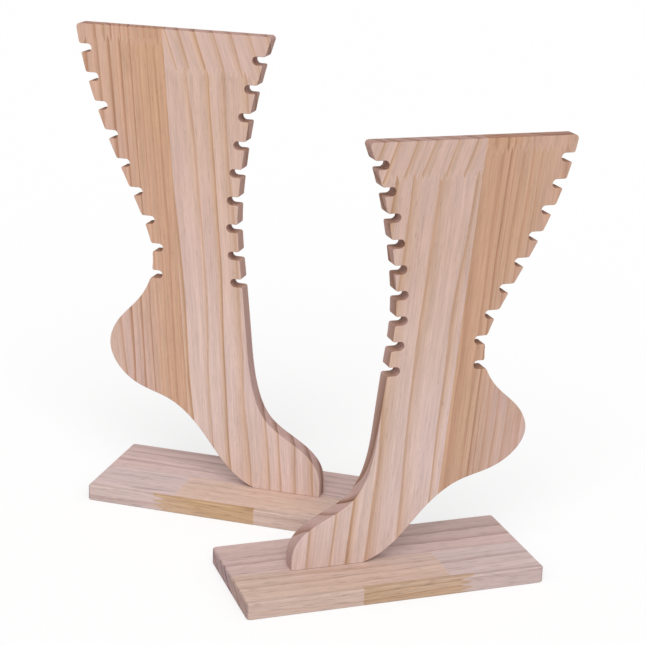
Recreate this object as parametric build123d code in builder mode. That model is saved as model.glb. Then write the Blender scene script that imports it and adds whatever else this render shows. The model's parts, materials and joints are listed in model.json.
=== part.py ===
"""A tall and a short display stand, each a foot-shaped leg on a flat base, in pine panel."""

import math
import os

from build123d import *

# Panel stock: the legs and the bases are cut from the same glued-up pine board.
board = 12.0                # thickness of the panel
base_arris = 0.8            # sanded bevel on the edges of the base

# The two legs. They share every width and differ in height.
tall_leg_height = 336.0
short_leg_height = 290.0
leg_width = 190.0           # from the toe tip to the back of the calf
top_corner = 2.5            # round on the two top corners

# Leg outline: shares of the leg's width, back from the toe, and shares of its height.
top_front_share = 0.231
nose_share = 0.030          # height of the upright front of the toe
shin_shares = (
    (0.034, 0.080), (0.122, 0.119), (0.222, 0.160), (0.279, 0.228), (0.307, 0.330),
    (0.330, 0.460), (0.352, 0.600), (0.338, 0.725), (0.288, 0.890),
)
sole_back_share = 0.269
arch_shares = ((0.411, 0.062), (0.496, 0.124), (0.625, 0.184), (0.776, 0.217))
heel_tip_shares = (0.873, 0.300)
calf_shares = (
    (0.842, 0.352), (0.766, 0.400), (0.712, 0.447), (0.694, 0.513), (0.737, 0.596),
    (0.840, 0.719), (0.926, 0.837),
)

# Notches along both edges of the leg, level, with a round inner end.
notch_count = 9
notch_width = 6.0           # the router bit's diameter
notch_depth = 8.6           # from the edge of the board to the round end
notch_ease = 1.2            # easing of the corners at the mouth
ease_bulge_share = 0.29     # how far the eased corner bows towards the old corner
notch_first_share = 0.949   # height of the top notch
notch_pitch_share = 0.060   # step between notches

# Staves of the leg: one glue line along the grain, and a finger joint in each stave.
seam_foot_share = 0.523     # where the glue line would meet the base, back from the toe
seam_top_share = 0.656      # where it meets the top edge
heel_joint_gap = 1.0        # from the top notch to the finger joint in the heel stave
finger_pitch = 4.0          # step between fingers
finger_length = 6.5         # length of a finger in the leg

# Base.
base_length = 210.0
base_depth = 88.0
base_corner = 2.5           # round on the upright corners
toe_setback = 41.5          # from the toe end of the base to the toe tip
edge_strip = 4.0            # width of the narrow stave along the front
seam_offset = 3.2           # from the middle of the base forward to the glue line behind the front stave
front_joint_share = 0.317   # from the heel end to the joint in the front stave
strip_joint_share = 0.243   # from the heel end to the joint in the narrow stave
strip_butt_share = 0.381    # from the toe end to the plain butt in the narrow stave
base_finger_length = 10.0   # length of a finger in the base
base_fingers = 3            # fingers through the thickness

# Countersunk wood screws, driven up through the base into the sole.
screw_diameter = 3.5
screw_length = 34.0
screw_tip = 4.0             # length of the point
screw_head = 7.0            # diameter of the head
screw_head_height = 1.75
screw_recess = 0.5          # depth of the head below the underside
drive_span = 3.6            # across the cross in the head
drive_width = 1.0           # of each arm of the cross
drive_depth = 1.3
screw_inset = 13.0          # from each end of the sole to a screw
base_hole_clearance = 0.25  # round the shank, in the base
sink_clearance = 0.1        # round the head, in the base
pilot_clearance = 0.05      # round the thread, in the leg
pilot_end = 0.5             # beyond the point, in the leg

# How the two stand: toes towards each other, the short one in front.
short_x = 50.9
short_y = -57.3
short_turn = 199.0          # degrees
tall_turn = -16.0           # degrees
stand_gap = 5.0             # from the short one's back edge to the tall one's front toe corner
meet_share = 0.477          # where that corner comes along the short base, from its heel end

overrun = 20.0              # how far a cutting region passes the wood

toe_reach = base_length / 2 - toe_setback
sole_length = sole_back_share * leg_width
screw_places = ((toe_reach - screw_inset, 0), (toe_reach - sole_length + screw_inset, 0))
head_slope = (screw_head - screw_diameter) / 2 / screw_head_height
sink_radius = screw_head / 2 + screw_recess * head_slope + sink_clearance


def leg_points(shares, leg_height):
    """Outline points, from shares of the leg's width and height."""
    return [(toe_reach - across * leg_width, up * leg_height) for across, up in shares]


def finger_line(start, end, pitch, length):
    """Zigzag points from start to end, whose fingers reach out sideways by length."""
    count = max(1, round(abs(end - start) / pitch))
    step = (end - start) / (2 * count)
    return [(start + i * step, length * (i % 2)) for i in range(2 * count + 1)]


def notch_heights(leg_height):
    """Heights of the notches above the sole, the top one first."""
    return [(notch_first_share - i * notch_pitch_share) * leg_height for i in range(notch_count)]


def notch_mouth(place, along, inward):
    """Outline of a notch's eased mouth, where its axis meets the edge of the leg."""
    sides = []
    for up in (1, -1):
        run = along * up
        corner = place + run * (notch_width / 2 / along.Y)
        inner = corner + inward * notch_ease
        middle = corner + (inward + run) * notch_ease * ease_bulge_share
        outer = corner + run * notch_ease
        beyond = outer + (outer - middle).normalized() * overrun / 4
        sides.append([inner, middle, outer, beyond])
    return [(point.X, point.Y) for point in sides[0] + sides[1][::-1]]


def leg_blank(face, sole, leg_height):
    """The whole leg, notched and drilled, before it is divided into its staves."""
    toe, nose, sole_back = leg_points([(0, 0), (0, nose_share), (sole_back_share, 0)], leg_height)
    top_front, top_back, heel_tip = leg_points([(top_front_share, 1), (1, 1), heel_tip_shares], leg_height)
    calf_points = leg_points(reversed(calf_shares), leg_height)
    arch_points = leg_points(reversed(arch_shares), leg_height)
    with BuildPart() as blank:
        with BuildSketch(face.offset(-board / 2)):
            with BuildLine():
                Line(toe, nose)
                shin = Spline(nose, *leg_points(shin_shares, leg_height), top_front)
                Line(top_front, top_back)
                calf = Spline(top_back, *calf_points, heel_tip, *arch_points, sole_back)
                Line(sole_back, toe)
            make_face()
            fillet(vertices().group_by(Axis.Y)[-1], top_corner)
        extrude(amount=board)
        with BuildSketch(face):
            for edge, inward in ((shin, Vector(-1, 0)), (calf, Vector(1, 0))):
                for height in notch_heights(leg_height):
                    place = edge.find_intersection_points(Axis((0, height), (1, 0)))[0]
                    along = edge.tangent_at(place)
                    end = place + inward * (notch_depth - notch_width / 2)
                    start = place - inward * overrun / 4
                    with Locations((start + end) / 2):
                        SlotCenterToCenter((end - start).length, notch_width)
                    Polygon(*notch_mouth(place, along * math.copysign(1, along.Y), inward), align=None)
        extrude(amount=board, both=True, mode=Mode.SUBTRACT)
        with Locations(sole):
            with Locations(*screw_places):
                Hole(screw_diameter / 2 + pilot_clearance, screw_recess + screw_length - board + pilot_end)
    return blank, shin, calf


def base_blank(stand, underside):
    """The whole base, eased and drilled, before it is divided into its staves."""
    with BuildPart() as blank:
        with BuildSketch(stand):
            RectangleRounded(base_length, base_depth, base_corner)
        extrude(amount=board)
        chamfer(faces().filter_by(Axis.Z).edges(), base_arris)
        with Locations(underside):
            with Locations(*screw_places):
                CounterSinkHole(
                    screw_diameter / 2 + base_hole_clearance,
                    sink_radius,
                    counter_sink_angle=math.degrees(2 * math.atan(head_slope)),
                )
    return blank


def save_stave(name, blank, plane, outline, start, end):
    """Keep the part of a blank that lies inside an outline, between two offsets, and save it."""
    with BuildPart() as stave:
        add(blank.part)
        with BuildSketch(plane.offset(start)):
            Polygon(*outline, align=None)
        extrude(amount=end - start, mode=Mode.INTERSECT)
    stave.part.label = name
    export_step(stave.part, f"parts/{name}.step")


def save_leg(name, blank, shin, calf, face, leg_height):
    """Divide a leg into two staves, each of two lengths joined by fingers."""
    (foot, floor), (head, top) = leg_points([(seam_foot_share, 0), (seam_top_share, 1)], leg_height)
    lean = (head - foot) / leg_height
    heights = notch_heights(leg_height)
    heel_joint = heights[0] + notch_width / 2 + heel_joint_gap
    shin_joint = (heights[0] + heights[1] - finger_length) / 2
    for stave, edge, joint, inward in (("heel", calf, heel_joint, 1), ("shin", shin, shin_joint, -1)):
        side = edge.find_intersection_points(Axis((0, joint), (1, 0)))[0].X
        beyond = foot + lean * joint - inward * leg_width
        fingers = finger_line(side + inward * finger_pitch, foot + lean * joint, finger_pitch, finger_length)
        joint_line = [(beyond, joint)] + [(across, joint + up) for across, up in fingers]
        for length, level in (("upper", top + overrun), ("lower", floor - overrun)):
            outline = joint_line + [(foot + lean * level, level), (beyond, level)]
            save_stave(f"{name}_leg_{stave}_{length}", blank, face, outline, -board, board)


def straight_end(across):
    """A plain cut through the base, as upright points."""
    return [(across, -overrun), (across, board + overrun)]


def fingered_end(across):
    """A finger joint through the base, as upright points."""
    fingers = finger_line(0, board, board / base_fingers, base_finger_length)
    start, end = straight_end(across)
    return [start] + [(across + reach, up) for up, reach in fingers] + [end]


def save_base(name, blank, face, front):
    """Divide a base into its back board, its front stave and the narrow strip along the front."""
    heel_end = -base_length / 2
    toe_end = base_length / 2
    strip_line = base_depth / 2 - edge_strip
    heel_side = straight_end(heel_end - overrun)
    toe_side = straight_end(toe_end + overrun)
    front_cut = fingered_end(heel_end + front_joint_share * base_length)
    strip_cut = fingered_end(heel_end + strip_joint_share * base_length)
    butt_cut = straight_end(toe_end - strip_butt_share * base_length)
    for stave, first, last, near, far in (
        ("back", heel_side, toe_side, -base_depth / 2 - overrun, seam_offset),
        ("front_heel", heel_side, front_cut, seam_offset, strip_line),
        ("front_toe", front_cut, toe_side, seam_offset, strip_line),
        ("edge_heel", heel_side, strip_cut, strip_line, base_depth / 2 + overrun),
        ("edge_mid", strip_cut, butt_cut, strip_line, base_depth / 2 + overrun),
        ("edge_toe", butt_cut, toe_side, strip_line, base_depth / 2 + overrun),
    ):
        save_stave(f"{name}_base_{stave}", blank, face, first + last[::-1], -front * near, -front * far)


def save_screws(name, stand):
    """The two screws under a leg."""
    shank = screw_diameter / 2
    with BuildPart() as screws:
        for place in screw_places:
            axis_plane = Plane(stand.from_local_coords((*place, 0)), x_dir=stand.x_dir, z_dir=-stand.y_dir)
            with BuildSketch(axis_plane):
                with BuildLine():
                    Polyline(
                        (0, screw_recess),
                        (screw_head / 2, screw_recess),
                        (shank, screw_recess + screw_head_height),
                        (shank, screw_recess + screw_length - screw_tip),
                        (0, screw_recess + screw_length),
                        close=True,
                    )
                make_face()
            revolve(axis=Axis(axis_plane.origin, (0, 0, 1)))
            with BuildSketch(Plane(stand.from_local_coords((*place, screw_recess)), x_dir=stand.x_dir)):
                Rectangle(drive_span, drive_width)
                Rectangle(drive_width, drive_span)
            extrude(amount=drive_depth, mode=Mode.SUBTRACT)
    screws.part.label = f"{name}_screws"
    export_step(screws.part, f"parts/{name}_screws.step")


def save_stand(name, leg_height, stand, front):
    """Every piece of one stand. Front is the side of the base that carries the narrow strip."""
    face = Plane(stand.origin, x_dir=stand.x_dir, z_dir=-stand.y_dir)
    leg_face = Plane(stand.offset(board).origin, x_dir=stand.x_dir, z_dir=-stand.y_dir)
    underside = Plane(stand.origin, x_dir=stand.x_dir, z_dir=-stand.z_dir)
    leg, shin, calf = leg_blank(leg_face, underside.offset(-board), leg_height)
    save_leg(name, leg, shin, calf, leg_face, leg_height)
    base = base_blank(stand, underside)
    save_base(name, base, face, front)
    save_screws(name, stand)


os.makedirs("parts", exist_ok=True)
short_stand = Plane((short_x, short_y, 0)).rotated((0, 0, short_turn))
meet = short_stand.from_local_coords(((meet_share - 1 / 2) * base_length, -base_depth / 2 - stand_gap, 0))
toe_corner = Plane(meet).rotated((0, 0, tall_turn))
tall_place = toe_corner.from_local_coords((-base_length / 2, base_depth / 2, 0))
tall_stand = Plane(tall_place).rotated((0, 0, tall_turn))
save_stand("tall", tall_leg_height, tall_stand, -1)
save_stand("short", short_leg_height, short_stand, 1)
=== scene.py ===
"""Dresses the pair of foot-shaped display stands: eased edges, pine grain, studio light and camera."""

import json
import math

import bmesh
import bpy
from mathutils import Euler, Matrix, Vector
from mathutils.bvhtree import BVHTree


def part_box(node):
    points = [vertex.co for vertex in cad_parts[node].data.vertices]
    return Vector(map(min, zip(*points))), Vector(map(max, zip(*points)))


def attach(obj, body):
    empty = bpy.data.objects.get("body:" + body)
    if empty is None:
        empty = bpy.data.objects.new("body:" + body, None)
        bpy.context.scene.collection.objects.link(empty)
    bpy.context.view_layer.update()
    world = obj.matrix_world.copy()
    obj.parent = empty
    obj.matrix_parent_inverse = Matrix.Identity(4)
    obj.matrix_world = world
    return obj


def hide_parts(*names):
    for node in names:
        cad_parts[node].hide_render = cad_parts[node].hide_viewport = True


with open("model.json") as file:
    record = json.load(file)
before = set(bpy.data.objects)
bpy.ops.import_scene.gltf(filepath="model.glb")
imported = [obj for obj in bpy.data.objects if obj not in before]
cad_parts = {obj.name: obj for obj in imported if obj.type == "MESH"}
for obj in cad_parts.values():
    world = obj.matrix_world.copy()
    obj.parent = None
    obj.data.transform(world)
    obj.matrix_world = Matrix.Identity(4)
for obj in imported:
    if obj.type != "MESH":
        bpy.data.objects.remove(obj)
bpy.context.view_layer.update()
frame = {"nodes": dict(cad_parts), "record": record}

MM = 0.001

# The stands.
TURNS = {"tall": -16.0, "short": 199.0}     # about the upright axis, in degrees, as in the CAD model
PAINTED_SHADE_TONES = {"tall": 1.0, "short": 0.93}        # painted shade: the short stand's wood is darkened a little for its dimmer light
SEEDS = {"tall": 1.0, "short": 8.0}         # where each stand's grain patterns start
BASE_SEED = 20              # from the patterns of a leg to those of its base
BOARD = 12.0                # thickness of the panel, mm
SEAM_RUN = 25.3             # how far the leg's glue line leans back over the leg's height, mm
BASE_GRAIN = 90.0           # the base's fibres lie along it, degrees from upright

# Easing of the leg's edges.
ARRIS = 0.45                # mm
ARRIS_STEPS = 3
ARRIS_ROUND = 0.5           # a plain round section
FLAT_FACE = 0.999           # least cosine between a flat face's normal and the way across the board
SHARED_WALL = 0.02          # walls closer than this belong to a glued joint, mm
SAME_POINT = 0.001          # mm
SHARP_ANGLE = 40            # degrees

# Sizes of the patterns in the wood, two across the fibres and one along them, mm.
DRIFT_GRAIN = (38, 38, 260)
FIBRE_GRAIN = (0.8, 0.8, 22)
STREAK_GRAIN = (5.5, 5.5, 150)
CLOUD_GRAIN = (34, 34, 110)
MARK_GRAIN = (3.0, 3.0, 55)
DUCT_LENGTH = 12            # times a resin duct's width

# How far a pattern shifts with each seed, so that no two staves are alike, mm.
PITH_SHIFT = (7.3, 0, 0)
DRIFT_SHIFT = (31, 0, 97)
STREAK_SHIFT = (53, 17, 0)
CLOUD_SHIFT = (0, 41, 13)
DUCT_SHIFT = (3, 5, 23)
MARK_SHIFT = (19, 29, 37)
UNEVEN_SHIFT = 11.7         # in rings

# Growth rings: shares of a ring's width, and how fast the width changes from ring to ring.
BAND_END = 0.95
LINE_END = 0.94
UNEVEN_PACE = 0.5

# Spans of a pattern's value over which it takes effect, and what it does to the wood's brightness.
CLOUD_SPAN = (0.32, 0.68)
FIBRE_SPAN = (0.25, 0.75)
FIBRE_SHADE = (0.87, 1.11)
STREAK_SHADE = (-0.07, 0.07)
DUCT_SPAN = 0.12
DUCT_SHADE = -0.18
MARK_SPAN = (0.64, 0.74)

# Cosines over which a face counts as end grain, as planed, as a notch's level wall, and as an edge.
END_SPAN = (0.3, 0.92)
PLANED_SPAN = (0.3, 0.85)
LEVEL_SPAN = (0.9, 0.985)
EDGE_SPAN = (0.97, 0.75)
EDGE_REACH = 0.5            # how far a painted edge highlight or a glue line shows, mm
EDGE_SAMPLES = 6
TOP_CLEARANCE = (3, 6)      # below the top edge, where notch walls start to count, mm

# Surface of the pine.
PINE_ROUGH = 0.58
FIBRE_ROUGH = 0.16
LINE_ROUGH = -0.1
SAWN_ROUGH = 0.12
PINE_SPECULAR = 0.3
BUMP_STRENGTH = 0.3
BUMP_DEPTH = 0.12           # mm
LINE_HEIGHT = 0.5           # of a late line, against the fibres

# Zinc on the screws.
ZINC_DULL = (0.60, 0.59, 0.56)
ZINC_BRIGHT = (0.72, 0.70, 0.64)
ZINC_ROUGH = (0.28, 0.45)
SPOT_GRAIN = (1.5, 1.5, 1.5)        # mm
SPOT_SPAN = (0.3, 0.7)
TURNING_GRAIN = (2.0, 2.0, 0.15)    # mm
TURNING_SPAN = (0.2, 0.8)

# Camera, for the photograph's square frame.
IMAGE_SIDE = 645            # pixels
FOCAL_PIXELS = 1693
SENSOR = 36.0               # mm
CAMERA_PLACE = (8.5, -1110.7, 521.5)    # mm
CAMERA_PITCH = 18.0         # degrees below level
CAMERA_ROLL = 1.8           # degrees

# Light.
KEY_FROM = (0.0, -1.0, 0.95)
KEY_STRENGTH = 2.15
KEY_SPREAD = 55             # degrees
SKY = 0.52
FLOOR_SIDE = 12.0           # m
FLOOR_GREY = 0.8            # what the floor sends back to the stands
FLOOR_GLOW = 0.62           # share of the floor's white that shows in shadow too

# Sockets of a Mix node that hold its share and its colours.
MIX_SHARE = 0
MIX_FIRST = 6
MIX_SECOND = 7
MIX_RESULT = 2


def fill(tree, socket, value):
    """Link a socket to another one, or set it. None leaves it as it is."""
    if isinstance(value, bpy.types.NodeSocket):
        tree.links.new(value, socket)
    elif value is not None:
        socket.default_value = value


def node(tree, kind, *values, out=0, named=None, **settings):
    """Add a shader node and return its output. Values go to its sockets in order, or by name."""
    made = tree.nodes.new(kind)
    for name, setting in settings.items():
        setattr(made, name, setting)
    for socket, value in zip(made.inputs, values):
        fill(tree, socket, value)
    for name, value in (named or {}).items():
        fill(tree, made.inputs[name], value)
    return made.outputs[out] if made.outputs else made


def math_node(tree, operation, *values):
    return node(tree, "ShaderNodeMath", *values, operation=operation)


def vector_node(tree, operation, *values, out="Vector"):
    return node(tree, "ShaderNodeVectorMath", *values, operation=operation, out=out)


def part_along(tree, vector, axis):
    return node(tree, "ShaderNodeSeparateXYZ", vector, out=axis)


def ramp(tree, value, low, high, start=0.0, end=1.0):
    """A smooth step from start to end while the value goes from low to high."""
    return node(
        tree, "ShaderNodeMapRange", value, low, high, start, end, interpolation_type="SMOOTHSTEP"
    )


def blend(tree, share, first, second, mode="MIX"):
    """Mix two colours by a share."""
    made = tree.nodes.new("ShaderNodeMix")
    made.data_type = "RGBA"
    made.blend_type = mode
    fill(tree, made.inputs[MIX_SHARE], share)
    for number, colour in ((MIX_FIRST, first), (MIX_SECOND, second)):
        fill(tree, made.inputs[number], (*colour, 1.0) if isinstance(colour, tuple) else colour)
    return made.outputs[MIX_RESULT]


def noise(tree, place, grain, detail=2.0, rough=0.5, shift=(0, 0, 0)):
    """Noise as coarse as a grain, along the three axes."""
    shifted = vector_node(tree, "ADD", place, shift)
    scaled = vector_node(tree, "DIVIDE", shifted, grain)
    return node(tree, "ShaderNodeTexNoise", scaled, None, 1.0, detail, rough, noise_dimensions="3D")


def new_material(name):
    material = bpy.data.materials.new(name)
    material.use_nodes = True
    material.node_tree.nodes.clear()
    return material, material.node_tree


def stand_place(stand):
    """Where a stand's middle is, on the floor."""
    mounts = {mount["name"]: mount["pos_m"] for mount in frame["record"]["mounts"]}
    return Vector(mounts[f"{stand}_underside"])


def leg_top(stand):
    """Height of a leg's top edge above the floor, in mm."""
    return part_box(f"{stand}_leg_shin_upper")[1].z / MM


def facing(tree, axis):
    """How squarely a surface faces along an axis, either way."""
    normal = node(tree, "ShaderNodeNewGeometry", out="Normal")
    return math_node(tree, "ABSOLUTE", vector_node(tree, "DOT_PRODUCT", normal, axis, out="Value"))


def growth_rings(tree, place, warm, look, seed):
    """Bands and late lines of uneven rings round the pith, which drift a little along the fibres."""
    slant = math.radians(look["slant"])
    pith = Vector((math.cos(slant), math.sin(slant), 0)) * look["pith"] + Vector(PITH_SHIFT) * seed
    offset = vector_node(tree, "SUBTRACT", place, pith)
    offset = vector_node(tree, "MULTIPLY", offset, (1, 1, 0))
    reach = vector_node(tree, "LENGTH", offset, out="Value")
    drift = noise(tree, place, DRIFT_GRAIN, shift=Vector(DRIFT_SHIFT) * seed)
    reach = math_node(tree, "MULTIPLY_ADD", drift, look["drift"], reach)
    rings = math_node(tree, "DIVIDE", reach, look["ring"])
    rings = math_node(tree, "MULTIPLY_ADD", warm, look["dense"], rings)
    pace = math_node(tree, "MULTIPLY_ADD", rings, UNEVEN_PACE, seed * UNEVEN_SHIFT)
    uneven = node(tree, "ShaderNodeTexNoise", None, pace, 1.0, 1.0, 0.5, noise_dimensions="1D")
    rings = math_node(tree, "MULTIPLY_ADD", uneven, look["uneven"], rings)
    across = math_node(tree, "FRACT", rings)
    number = math_node(tree, "ADD", math_node(tree, "FLOOR", rings), seed)
    depth = node(tree, "ShaderNodeTexWhiteNoise", None, number, noise_dimensions="1D")
    depth = ramp(tree, depth, 0.0, 1.0, look["faint"], 1.0)
    depth = math_node(tree, "MULTIPLY", depth, ramp(tree, across, LINE_END, 1.0, 1.0, 0.0))
    band = math_node(tree, "MULTIPLY", ramp(tree, across, look["soft"], BAND_END), depth)
    late = math_node(tree, "MULTIPLY", ramp(tree, across, look["line"], LINE_END), depth)
    return band, late


def early_wood(tree, place, warm, look, seed):
    """Pale wood between the rings: it changes slowly along the board, down the leg and near the seam."""
    cloud = noise(tree, place, CLOUD_GRAIN, shift=Vector(CLOUD_SHIFT) * seed)
    colour = blend(tree, ramp(tree, cloud, *CLOUD_SPAN), look["early"], look["tint"])
    low = ramp(tree, part_along(tree, place, "Z"), *look["low"])
    colour = blend(tree, low, colour, look["low_tint"], "MULTIPLY")
    return blend(tree, math_node(tree, "MULTIPLY", warm, look["warmth"]), colour, look["gold"])


def fibre_shade(tree, place, fibre, look, seed):
    """Brightness of the wood: fibres, streaks, short resin ducts and long dark marks."""
    streak = noise(tree, place, STREAK_GRAIN, 3.0, 0.55, Vector(STREAK_SHIFT) * seed)
    duct_grain = Vector((1, 1, DUCT_LENGTH)) * look["duct"]
    ducts = noise(tree, place, duct_grain, 1.0, shift=Vector(DUCT_SHIFT) * seed)
    marks = noise(tree, place, MARK_GRAIN, 3.0, shift=Vector(MARK_SHIFT) * seed)
    shade = ramp(tree, fibre, *FIBRE_SPAN, *FIBRE_SHADE)
    for change in (
        ramp(tree, streak, *FIBRE_SPAN, *STREAK_SHADE),
        ramp(tree, ducts, look["rare"], look["rare"] + DUCT_SPAN, 0.0, DUCT_SHADE),
        ramp(tree, marks, *MARK_SPAN, 0.0, -look["mark"]),
    ):
        shade = math_node(tree, "ADD", shade, change)
    return shade


def pine(name, stand, grain, look, seed):
    """Raw sanded pine. Grain turns the stand's upright axis into the run of the fibres."""
    material, tree = new_material(name)
    turn = Euler((0, math.radians(grain), math.radians(TURNS[stand])))
    spot = node(tree, "ShaderNodeTexCoord", out="Object")
    place = node(
        tree, "ShaderNodeMapping", spot, stand_place(stand), turn, (MM, MM, MM), vector_type="TEXTURE"
    )
    warm = ramp(tree, part_along(tree, place, "X"), *look["warm"])
    band, late = growth_rings(tree, place, warm, look, seed)
    fibre = noise(tree, place, FIBRE_GRAIN, 4.0, 0.7)
    colour = early_wood(tree, place, warm, look, seed)
    colour = blend(tree, math_node(tree, "MULTIPLY", band, look["shade"]), colour, look["tan"])
    colour = blend(tree, math_node(tree, "MULTIPLY", late, look["dark"]), colour, look["late"])
    # The stand's tone scales the wood's brightness, as painted shade.
    shade = math_node(tree, "MULTIPLY", fibre_shade(tree, place, fibre, look, seed), PAINTED_SHADE_TONES[stand])
    shade_colour = node(tree, "ShaderNodeCombineColor", shade, shade, shade)
    colour = blend(tree, 1.0, colour, shade_colour, "MULTIPLY")

    # End grain is darker in its own colour; the sawn sides get the same darkening, partly as painted shade.
    ends = facing(tree, turn.to_matrix() @ Vector((0, 0, 1)))
    planed = facing(tree, turn.to_matrix() @ Vector(look["face"]))
    sides = ramp(tree, planed, *PLANED_SPAN, look["sawn_and_shaded"], 0.0)
    sawn_and_shaded = math_node(tree, "MAXIMUM", ramp(tree, ends, *END_SPAN), sides)
    banded = blend(tree, band, look["end"], look["end_late"])
    colour = blend(tree, sawn_and_shaded, colour, blend(tree, 1.0, colour, banded, "MULTIPLY"))

    # Painted shade darkens the level walls of the notches to a brown, but not the top edge.
    start, full = [(leg_top(stand) - clearance) * MM for clearance in TOP_CLEARANCE]
    below = ramp(tree, part_along(tree, spot, "Z"), start, full)
    notch_shade = math_node(tree, "MULTIPLY", below, ramp(tree, ends, *LEVEL_SPAN, 0.0, look["notch_shade_strength"]))
    colour = blend(tree, notch_shade, colour, look["notch_shade"])

    # Edges get a painted highlight, and glue lines show a little paler.
    rounded = node(tree, "ShaderNodeBevel", EDGE_REACH * MM, samples=EDGE_SAMPLES)
    flat = node(tree, "ShaderNodeNewGeometry", out="Normal")
    bend = vector_node(tree, "DOT_PRODUCT", rounded, flat, out="Value")
    colour = blend(tree, ramp(tree, bend, *EDGE_SPAN, 0.0, look["highlight_and_glue"]), colour, look["pale"])

    rough = math_node(tree, "MULTIPLY_ADD", fibre, FIBRE_ROUGH, PINE_ROUGH)
    rough = math_node(tree, "MULTIPLY_ADD", late, LINE_ROUGH, rough)
    rough = math_node(tree, "MULTIPLY_ADD", sawn_and_shaded, SAWN_ROUGH, rough)
    height = math_node(tree, "MULTIPLY_ADD", late, LINE_HEIGHT, fibre)
    relief = {"Strength": BUMP_STRENGTH, "Distance": BUMP_DEPTH * MM, "Height": height}
    bump = node(tree, "ShaderNodeBump", named=relief)
    finish = {"Base Color": colour, "Roughness": rough, "Normal": bump, "Specular IOR Level": PINE_SPECULAR}
    node(tree, "ShaderNodeOutputMaterial", node(tree, "ShaderNodeBsdfPrincipled", named=finish))
    return material


def steel(name):
    """Bright zinc on a turned screw."""
    material, tree = new_material(name)
    place = vector_node(tree, "DIVIDE", node(tree, "ShaderNodeTexCoord", out="Object"), (MM, MM, MM))
    spots = noise(tree, place, SPOT_GRAIN, 3.0)
    turning = noise(tree, place, TURNING_GRAIN)
    colour = blend(tree, ramp(tree, spots, *SPOT_SPAN), ZINC_DULL, ZINC_BRIGHT)
    rough = ramp(tree, turning, *TURNING_SPAN, *ZINC_ROUGH)
    finish = {"Base Color": colour, "Roughness": rough, "Metallic": 1.0}
    node(tree, "ShaderNodeOutputMaterial", node(tree, "ShaderNodeBsdfPrincipled", named=finish))
    return material


# Looks of the staves. Colours are linear, lengths in mm, angles in degrees.
# early and tint: two shades of the pale wood; low and low_tint: where it turns paler towards the foot.
# gold, warm, warmth and dense: where the wood turns golden towards the seam, with more rings.
# tan, shade, soft: the band that darkens each ring, its strength and where in the ring it starts.
# late, dark, line: the same for the line that ends a ring; faint: the weakest ring's strength.
# ring, pith, slant, drift, uneven: the rings' width, their middle's place, and how they wander.
# duct, rare, mark: a resin duct's width, how rare ducts are, and how dark long marks are.
# face, sawn_and_shaded: the way across the planed faces, and how far the other sides look sawn and carry
# painted shade.
# end and end_late: what end grain does to pale wood and to bands; notch_shade_strength and notch_shade:
# painted shade on the notch walls, in a brown.
# highlight_and_glue and pale: how pale the painted edge highlight and the glue lines are.
HEEL = dict(
    early=(0.56, 0.35, 0.242), tint=(0.56, 0.355, 0.28), low=(260, 130), low_tint=(1.01, 1.1, 1.27),
    gold=(0.53, 0.308, 0.188), warm=(-82, -40), warmth=0.75, dense=5.0,
    tan=(0.44, 0.225, 0.125), shade=0.62, soft=0.42,
    late=(0.29, 0.125, 0.065), dark=0.5, line=0.68, faint=0.25,
    ring=6.2, pith=-150, slant=24, drift=12, uneven=1.6,
    duct=0.6, rare=0.64, mark=0.08,
    face=(0, 1, 0), sawn_and_shaded=1.0,
    end=(0.78, 0.69, 0.69), end_late=(0.46, 0.36, 0.36), notch_shade_strength=0.45, notch_shade=(0.36, 0.195, 0.115),
    highlight_and_glue=0.16, pale=(0.72, 0.56, 0.47),
)
SHIN = dict(
    HEEL, early=(0.59, 0.41, 0.35), tint=(0.585, 0.405, 0.33), low=(260, 60), low_tint=(1.09, 1.17, 1.26),
    warmth=0.0, dense=0.0,
    tan=(0.54, 0.335, 0.21), shade=0.8, soft=0.45,
    late=(0.38, 0.20, 0.105), dark=0.72, line=0.79, faint=0.5,
    ring=10.8, pith=-190, slant=30, drift=14, uneven=0.9,
)
BACK = dict(
    HEEL, early=(0.64, 0.465, 0.44), tint=(0.62, 0.45, 0.415), low_tint=(1.0, 1.0, 1.0),
    warmth=0.0, dense=0.0,
    tan=(0.47, 0.32, 0.285), shade=0.75, soft=0.4,
    late=(0.34, 0.205, 0.19), dark=0.5, line=0.7, faint=0.2,
    ring=7.8, slant=75, drift=24, uneven=1.3,
    duct=1.0, rare=0.55, mark=0.3,
    face=(1, 0, 0), sawn_and_shaded=0.1,
    end=(0.72, 0.68, 0.72), end_late=(0.40, 0.34, 0.38), notch_shade_strength=0.0,
)
FRONT_HEEL = dict(BACK, early=(0.65, 0.505, 0.49), tint=(0.64, 0.495, 0.47), shade=0.45, dark=0.3)
FRONT_TOE = dict(
    BACK, early=(0.655, 0.475, 0.415), tint=(0.655, 0.475, 0.39),
    tan=(0.49, 0.32, 0.23), late=(0.38, 0.23, 0.16), ring=7.0,
)
EDGE_HEEL = dict(BACK, early=(0.56, 0.43, 0.405), tint=(0.54, 0.42, 0.385), shade=0.4, dark=0.3, slant=10)
EDGE_TOE = dict(
    BACK, early=(0.57, 0.42, 0.35), tint=(0.58, 0.43, 0.375),
    tan=(0.49, 0.32, 0.23), late=(0.40, 0.25, 0.17), ring=5.0, slant=10,
)
AMBER = dict(
    BACK, early=(0.50, 0.325, 0.19), tint=(0.53, 0.37, 0.27),
    tan=(0.40, 0.225, 0.105), late=(0.30, 0.155, 0.065), dark=0.6, ring=3.6, slant=12,
)
JOINT_HIGHLIGHT_AND_GLUE = 0.6          # the short top lengths show their finger joints more, and more painted edge highlight
SHIN_TOP_TILT = -14.0       # the grain of the shin's top length leans, degrees

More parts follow.
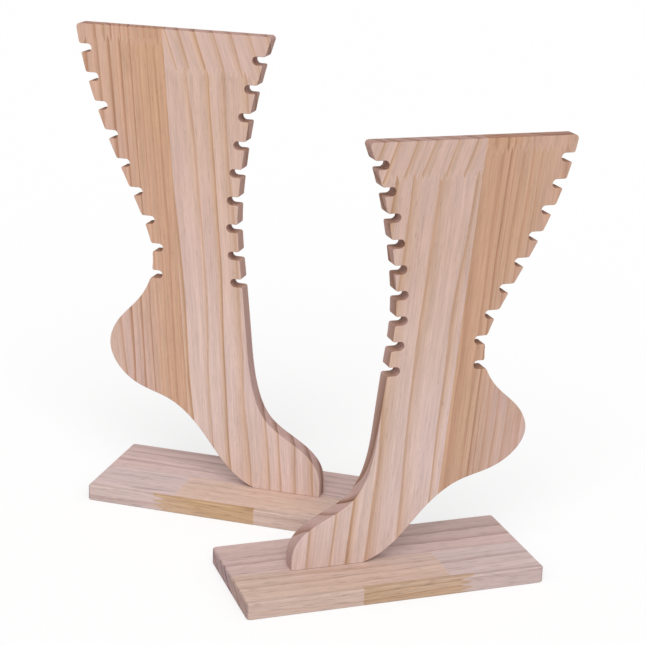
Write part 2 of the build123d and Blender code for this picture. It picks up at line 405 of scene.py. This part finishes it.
# Each piece's look, and for a leg's how its grain leans from the seam.
UPRIGHT = {
    "leg_heel_upper": (dict(HEEL, highlight_and_glue=JOINT_HIGHLIGHT_AND_GLUE), 0.0),
    "leg_heel_lower": (HEEL, 0.0),
    "leg_shin_upper": (dict(SHIN, highlight_and_glue=JOINT_HIGHLIGHT_AND_GLUE), SHIN_TOP_TILT),
    "leg_shin_lower": (SHIN, 0.0),
}
LYING = {
    "base_back": BACK,
    "base_front_heel": FRONT_HEEL,
    "base_front_toe": FRONT_TOE,
    "base_edge_heel": EDGE_HEEL,
    "base_edge_mid": AMBER,
    "base_edge_toe": EDGE_TOE,
}


def face_outline(leg, across):
    """Points round one flat face of a stave, in order."""
    mesh = leg.data
    keys = [tuple(round(number / (SAME_POINT * MM)) for number in vertex.co) for vertex in mesh.vertices]
    border = set()
    for face in mesh.polygons:
        if face.normal.dot(across) < FLAT_FACE:
            continue
        ring = [keys[i] for i in face.vertices]
        for edge in zip(ring, ring[1:] + ring[:1]):
            if edge[::-1] in border:
                border.remove(edge[::-1])
            else:
                border.add(edge)
    after = dict(border)
    line = [min(after)]
    while after[line[-1]] != line[0]:
        line.append(after[line[-1]])
    return [Vector(key) * SAME_POINT * MM for key in line]


def eased_form(points, half, others):
    """A board with this outline. Its edges are rounded, but not where another stave's wall meets it."""
    form = bmesh.new()
    front = [form.verts.new(point + half) for point in points]
    back = [form.verts.new(point - half) for point in points]
    form.faces.new(front)
    form.faces.new(back[::-1])
    outer = []
    for i, point in enumerate(points):
        form.faces.new((front[i], front[i - 1], back[i - 1], back[i]))
        middle = (point + points[i - 1]) / 2
        if all(wall.find_nearest(middle)[3] > SHARED_WALL * MM for wall in others):
            outer += [form.edges.get((side[i], side[i - 1])) for side in (front, back)]
    bmesh.ops.recalc_face_normals(form, faces=form.faces)
    bmesh.ops.bevel(
        form, geom=outer, offset=ARRIS * MM, segments=ARRIS_STEPS, profile=ARRIS_ROUND, affect="EDGES",
    )
    return form


def eased_leg(stand):
    """The leg's staves with their outer edges sanded round, and their glued joints left sharp."""
    across = Matrix.Rotation(math.radians(TURNS[stand]), 3, "Z") @ Vector((0, 1, 0))
    half = across * BOARD / 2 * MM
    nodes = {piece: frame["nodes"][f"{stand}_{piece}"] for piece in UPRIGHT}
    depsgraph = bpy.context.evaluated_depsgraph_get()
    walls = {piece: BVHTree.FromObject(leg, depsgraph) for piece, leg in nodes.items()}
    for piece, leg in nodes.items():
        others = [wall for other, wall in walls.items() if other != piece]
        form = eased_form([point - half for point in face_outline(leg, across)], half, others)
        mesh = bpy.data.meshes.new(f"{leg.name}_eased")
        form.to_mesh(mesh)
        form.free()
        mesh.shade_smooth()
        mesh.set_sharp_from_angle(angle=math.radians(SHARP_ANGLE))
        stave = bpy.data.objects.new(f"{leg.name}_eased", mesh)
        bpy.context.scene.collection.objects.link(stave)
        stave.modifiers.new("normals", "WEIGHTED_NORMAL").keep_sharp = True
        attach(stave, "root")
        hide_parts(leg.name)


def set_material(piece, material):
    shown = bpy.data.objects.get(f"{piece}_eased") or frame["nodes"][piece]
    shown.data.materials.clear()
    shown.data.materials.append(material)


def dress(stand):
    """Give every piece of a stand its material."""
    lean = -math.degrees(math.atan2(SEAM_RUN, leg_top(stand) - BOARD))
    seed = SEEDS[stand]
    for number, (piece, (look, tilt)) in enumerate(UPRIGHT.items()):
        wood = pine(f"{stand}_{piece}_pine", stand, lean + tilt, look, seed + number)
        set_material(f"{stand}_{piece}", wood)
    for number, (piece, look) in enumerate(LYING.items()):
        wood = pine(f"{stand}_{piece}_pine", stand, BASE_GRAIN, look, seed + BASE_SEED + number)
        set_material(f"{stand}_{piece}", wood)
    set_material(f"{stand}_screws", steel(f"{stand}_screw_steel"))


def grey(level):
    return (level, level, level, 1)


def seen_share(tree):
    """1 for rays from the camera, a mirror or glass, and 0 for the light on the stands."""
    path = tree.nodes.new("ShaderNodeLightPath").outputs
    seen = math_node(tree, "MAXIMUM", path["Is Camera Ray"], path["Is Glossy Ray"])
    return math_node(tree, "MAXIMUM", seen, path["Is Transmission Ray"])


def floor():
    """A white floor that keeps the shadow."""
    material, tree = new_material("floor_white")
    plain = node(tree, "ShaderNodeBsdfDiffuse", grey(FLOOR_GREY))
    matt = node(tree, "ShaderNodeBsdfDiffuse", grey(1 - FLOOR_GLOW))
    glow = node(tree, "ShaderNodeEmission", grey(1), FLOOR_GLOW)
    bright = node(tree, "ShaderNodeAddShader", matt, glow)
    mixed = node(tree, "ShaderNodeMixShader", seen_share(tree), plain, bright)
    node(tree, "ShaderNodeOutputMaterial", mixed)
    half = FLOOR_SIDE / 2
    corners = [(-half, -half, 0), (half, -half, 0), (half, half, 0), (-half, half, 0)]
    mesh = bpy.data.meshes.new("floor")
    mesh.from_pydata(corners, [], [(0, 1, 2, 3)])
    mesh.materials.append(material)
    sheet = bpy.data.objects.new("floor", mesh)
    bpy.context.scene.collection.objects.link(sheet)


def sky():
    """White where it is seen, and a soft even light on the stands."""
    world = bpy.data.worlds.new("studio")
    world.use_nodes = True
    tree = world.node_tree
    tree.nodes.clear()
    strength = node(tree, "ShaderNodeMapRange", seen_share(tree), 0.0, 1.0, SKY, 1.0)
    node(tree, "ShaderNodeOutputWorld", node(tree, "ShaderNodeBackground", grey(1), strength))
    bpy.context.scene.world = world


def key_light():
    """A broad lamp above the camera."""
    lamp = bpy.data.lights.new("key", "SUN")
    lamp.energy = KEY_STRENGTH
    lamp.angle = math.radians(KEY_SPREAD)
    key = bpy.data.objects.new("key", lamp)
    key.rotation_euler = Vector(KEY_FROM).to_track_quat("Z", "Y").to_euler()
    bpy.context.scene.collection.objects.link(key)


def camera():
    """The photograph's view: level sideways but for a small roll, and looking down a little."""
    lens = bpy.data.cameras.new("camera")
    lens.sensor_width = SENSOR
    lens.lens = FOCAL_PIXELS / IMAGE_SIDE * SENSOR
    eye = bpy.data.objects.new("camera", lens)
    tilt = Euler((math.radians(90 - CAMERA_PITCH), 0, 0)).to_matrix()
    roll = Matrix.Rotation(math.radians(CAMERA_ROLL), 3, "Z")
    eye.matrix_world = Matrix.Translation(Vector(CAMERA_PLACE) * MM) @ (tilt @ roll).to_4x4()
    bpy.context.scene.collection.objects.link(eye)
    bpy.context.scene.camera = eye


for name in TURNS:
    eased_leg(name)
    dress(name)
floor()
sky()
key_light()
camera()
bpy.context.scene.view_settings.view_transform = "Standard"
